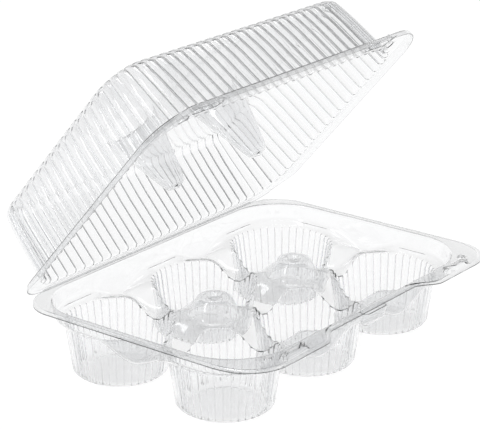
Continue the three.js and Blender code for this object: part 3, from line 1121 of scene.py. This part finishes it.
@dataclass
class Crease:
    """The folded strip along the back that joins the tray to the lid."""

    tray: Tray
    hinge: Vector
    film: float = 0.2
    tray_turn: float = -118.0
    lid_turn: float = 70.0
    bend_radius: float = 0.5
    steps: int = 24

    def build(self, finishes: Sequence[bpy.types.Material]) -> bpy.types.Object:
        """Builds the strip, which bends between the tray and the lid."""
        mesh = bmesh.new()
        start = math.radians(self.tray_turn)
        place = self.hinge + Vector((0, math.cos(start), math.sin(start))) * self.bend_radius
        half = self.tray.flange.half - self.tray.flange.back_radius
        ends = [mesh.verts.new(place + Vector((x, 0, 0))) for x in (-half, half)]
        edge = mesh.edges.new(ends)
        bmesh.ops.spin(
            mesh, geom=[*ends, edge], cent=self.hinge, axis=(1, 0, 0),
            angle=math.radians(self.lid_turn - self.tray_turn), steps=self.steps, use_merge=False,
        )
        bmesh.ops.transform(mesh, matrix=Matrix.Scale(METRES, 4), verts=mesh.verts)
        for face in mesh.faces:
            face.smooth = True
        made = to_object(mesh, "crease")
        thicken(made, self.film, finishes)
        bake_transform(made)
        return made


def thicken(made: bpy.types.Object, film: float, finishes: Sequence[bpy.types.Material]) -> None:
    """Gives a sheet its thickness, on the side its faces turn away from, and its cut edges.

    Args:
        made: The sheet's object.
        film: The thickness in millimetres.
        finishes: The materials of the sheet and of its cut edge, both with painted shade.
    """
    for finish in finishes:
        made.data.materials.append(finish)
    wall = made.modifiers.new("film", "SOLIDIFY")
    # The rim faces, the sheet's cut edges, take the second material, whose grey is painted shade.
    wall.material_offset_rim = 1
    wall.thickness = film * METRES
    wall.offset = -1.0
    wall.use_rim = True
    wall.use_even_offset = False
    drawn = made.evaluated_get(bpy.context.evaluated_depsgraph_get())
    made.data = bpy.data.meshes.new_from_object(drawn)
    made.modifiers.clear()
    made.data.set_sharp_from_angle(angle=SHARP)


@dataclass(frozen=True)
class Lamp:
    """One soft strip lamp, in metres and watts."""

    name: str
    place: tuple[float, float, float]
    width: float
    length: float
    power: float


@dataclass
class Studio:
    """The floor, the backdrop, the lamps and the camera, in metres."""

    camera_place: Vector = field(default_factory=lambda: Vector((-0.8907, -0.6874, 0.4854)))
    azimuth: float = -51.89
    elevation: float = 19.69
    roll: float = -0.14
    focal_pixels: float = 2022.13
    sensor: float = 36.0
    ambient: float = 0.9
    ceiling: float = 0.25
    ceiling_from: float = 0.1
    ceiling_full: float = 0.5
    floor_glow: float = 0.52
    floor_grey: Colour = (0.5, 0.5, 0.5, 1.0)
    floor_size: float = 20.0
    lamps: tuple[Lamp, ...] = (
        Lamp("overhead_lamp", (0.2, 0.4, 1.8), 1.0, 0.35, 4.0),
        Lamp("left_lamp", (-1.6, 0.5, 1.2), 0.3, 1.0, 4.0),
    )
    lamp_target: tuple[float, float, float] = (0.0, 0.0, 0.08)
    clear_bounces: int = 48
    glossy_bounces: int = 16

    def camera(self) -> None:
        """Places the camera at the photograph's viewing angle."""
        data = bpy.data.cameras.new("camera")
        data.sensor_fit = "HORIZONTAL"
        data.sensor_width = self.sensor
        data.lens = self.focal_pixels / IMAGE_WIDTH * self.sensor
        data.clip_start, data.clip_end = 0.05, 50.0
        camera = bpy.data.objects.new("camera", data)
        a, e = math.radians(self.azimuth), math.radians(self.elevation)
        back = Vector((math.sin(a) * math.cos(e), -math.cos(a) * math.cos(e), math.sin(e)))
        turn = (-back).to_track_quat("-Z", "Y").to_matrix().to_4x4()
        roll = Matrix.Rotation(math.radians(self.roll), 4, "Z")
        camera.matrix_world = Matrix.Translation(self.camera_place) @ turn @ roll
        bpy.context.scene.collection.objects.link(camera)
        bpy.context.scene.camera = camera

    def world(self) -> None:
        """Surrounds the object with a white backdrop under a grey ceiling, and soft even light."""
        world = bpy.data.worlds.new("studio")
        bpy.context.scene.world = world
        shader = Shader(world)
        path = shader.node("ShaderNodeLightPath")
        direction = shader.node("ShaderNodeTexCoord")["Generated"]
        height = shader.node("ShaderNodeSeparateXYZ", values={0: direction})["Z"]
        ceiling = shader.node(
            "ShaderNodeMapRange",
            {"interpolation_type": "SMOOTHSTEP"},
            {"Value": height, "From Min": self.ceiling_from, "From Max": self.ceiling_full},
        )["Result"]
        levels = ({"Color": WHITE, "Strength": s} for s in (1.0, self.ceiling, self.ambient))
        white, grey, soft = (
            shader.node("ShaderNodeBackground", values=level)["Background"] for level in levels
        )
        room = shader.mixed(ceiling, white, grey)
        shown = shader.mixed(path["Is Transmission Ray"] | path["Is Glossy Ray"], soft, room)
        both = shader.mixed(path["Is Camera Ray"], shown, white)
        shader.node("ShaderNodeOutputWorld", values={"Surface": both})

    def floor(self) -> None:
        """Lays a white floor that keeps the object's shadow."""
        mesh = bmesh.new()
        bmesh.ops.create_grid(mesh, x_segments=1, y_segments=1, size=self.floor_size)
        floor = to_object(mesh, "floor")
        material = bpy.data.materials.new("floor_white")
        shader = Shader(material)
        path = shader.node("ShaderNodeLightPath")
        seen = path["Is Camera Ray"] | path["Is Transmission Ray"] | path["Is Glossy Ray"]
        paint = {"Base Color": self.floor_grey, "Roughness": 0.9, "Specular IOR Level": 0.0}
        glow = {"Emission Color": WHITE, "Emission Strength": self.floor_glow}
        plain = shader.node("ShaderNodeBsdfPrincipled", values=paint)["BSDF"]
        glowing = shader.node("ShaderNodeBsdfPrincipled", values=paint | glow)["BSDF"]
        surface = shader.mixed(seen, plain, glowing)
        shader.node("ShaderNodeOutputMaterial", values={"Surface": surface})
        floor.data.materials.append(material)
        floor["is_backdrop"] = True

    def hang(self, lamp: Lamp) -> None:
        """Hangs one lamp so that it faces the box."""
        data = bpy.data.lights.new(lamp.name, "AREA")
        data.shape = "RECTANGLE"
        data.size, data.size_y = lamp.width, lamp.length
        data.energy = lamp.power
        place = Vector(lamp.place)
        aim = (Vector(self.lamp_target) - place).to_track_quat("-Z", "Y").to_matrix().to_4x4()
        made = bpy.data.objects.new(lamp.name, data)
        made.matrix_world = Matrix.Translation(place) @ aim
        bpy.context.scene.collection.objects.link(made)

    def build(self) -> None:
        """Sets up the whole studio."""
        bpy.context.scene.view_settings.view_transform = "Standard"
        self.camera()
        self.world()
        self.floor()
        for lamp in self.lamps:
            self.hang(lamp)
        cycles = bpy.context.scene.cycles
        cycles.max_bounces = self.clear_bounces
        cycles.transmission_bounces = self.clear_bounces
        cycles.glossy_bounces = self.glossy_bounces
        cycles.transparent_max_bounces = self.clear_bounces


def corners() -> list[list[float]]:
    """Returns the shown object's lowest and highest corners as plain lists."""
    return [list(corner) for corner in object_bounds()]


def main() -> None:
    """Builds the dressed cupcake box and its studio."""
    logging.basicConfig(level=logging.INFO)
    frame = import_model()
    hinge = Vector(frame["joints"][0]["pos_m"]) / METRES
    # The second material paints shade on the sheet's cut edges.
    finishes = (ClearSheet().material(), CutEdgePaintedShade().material())
    box = Tray()
    pieces = (
        box.build(finishes), Lid(box).build(finishes, hinge), Crease(box, hinge).build(finishes)
    )
    for piece in pieces:
        LOG.info("%s: %d faces", piece.name, len(piece.data.polygons))
    Studio().build()


if __name__ == "__main__":
    main()
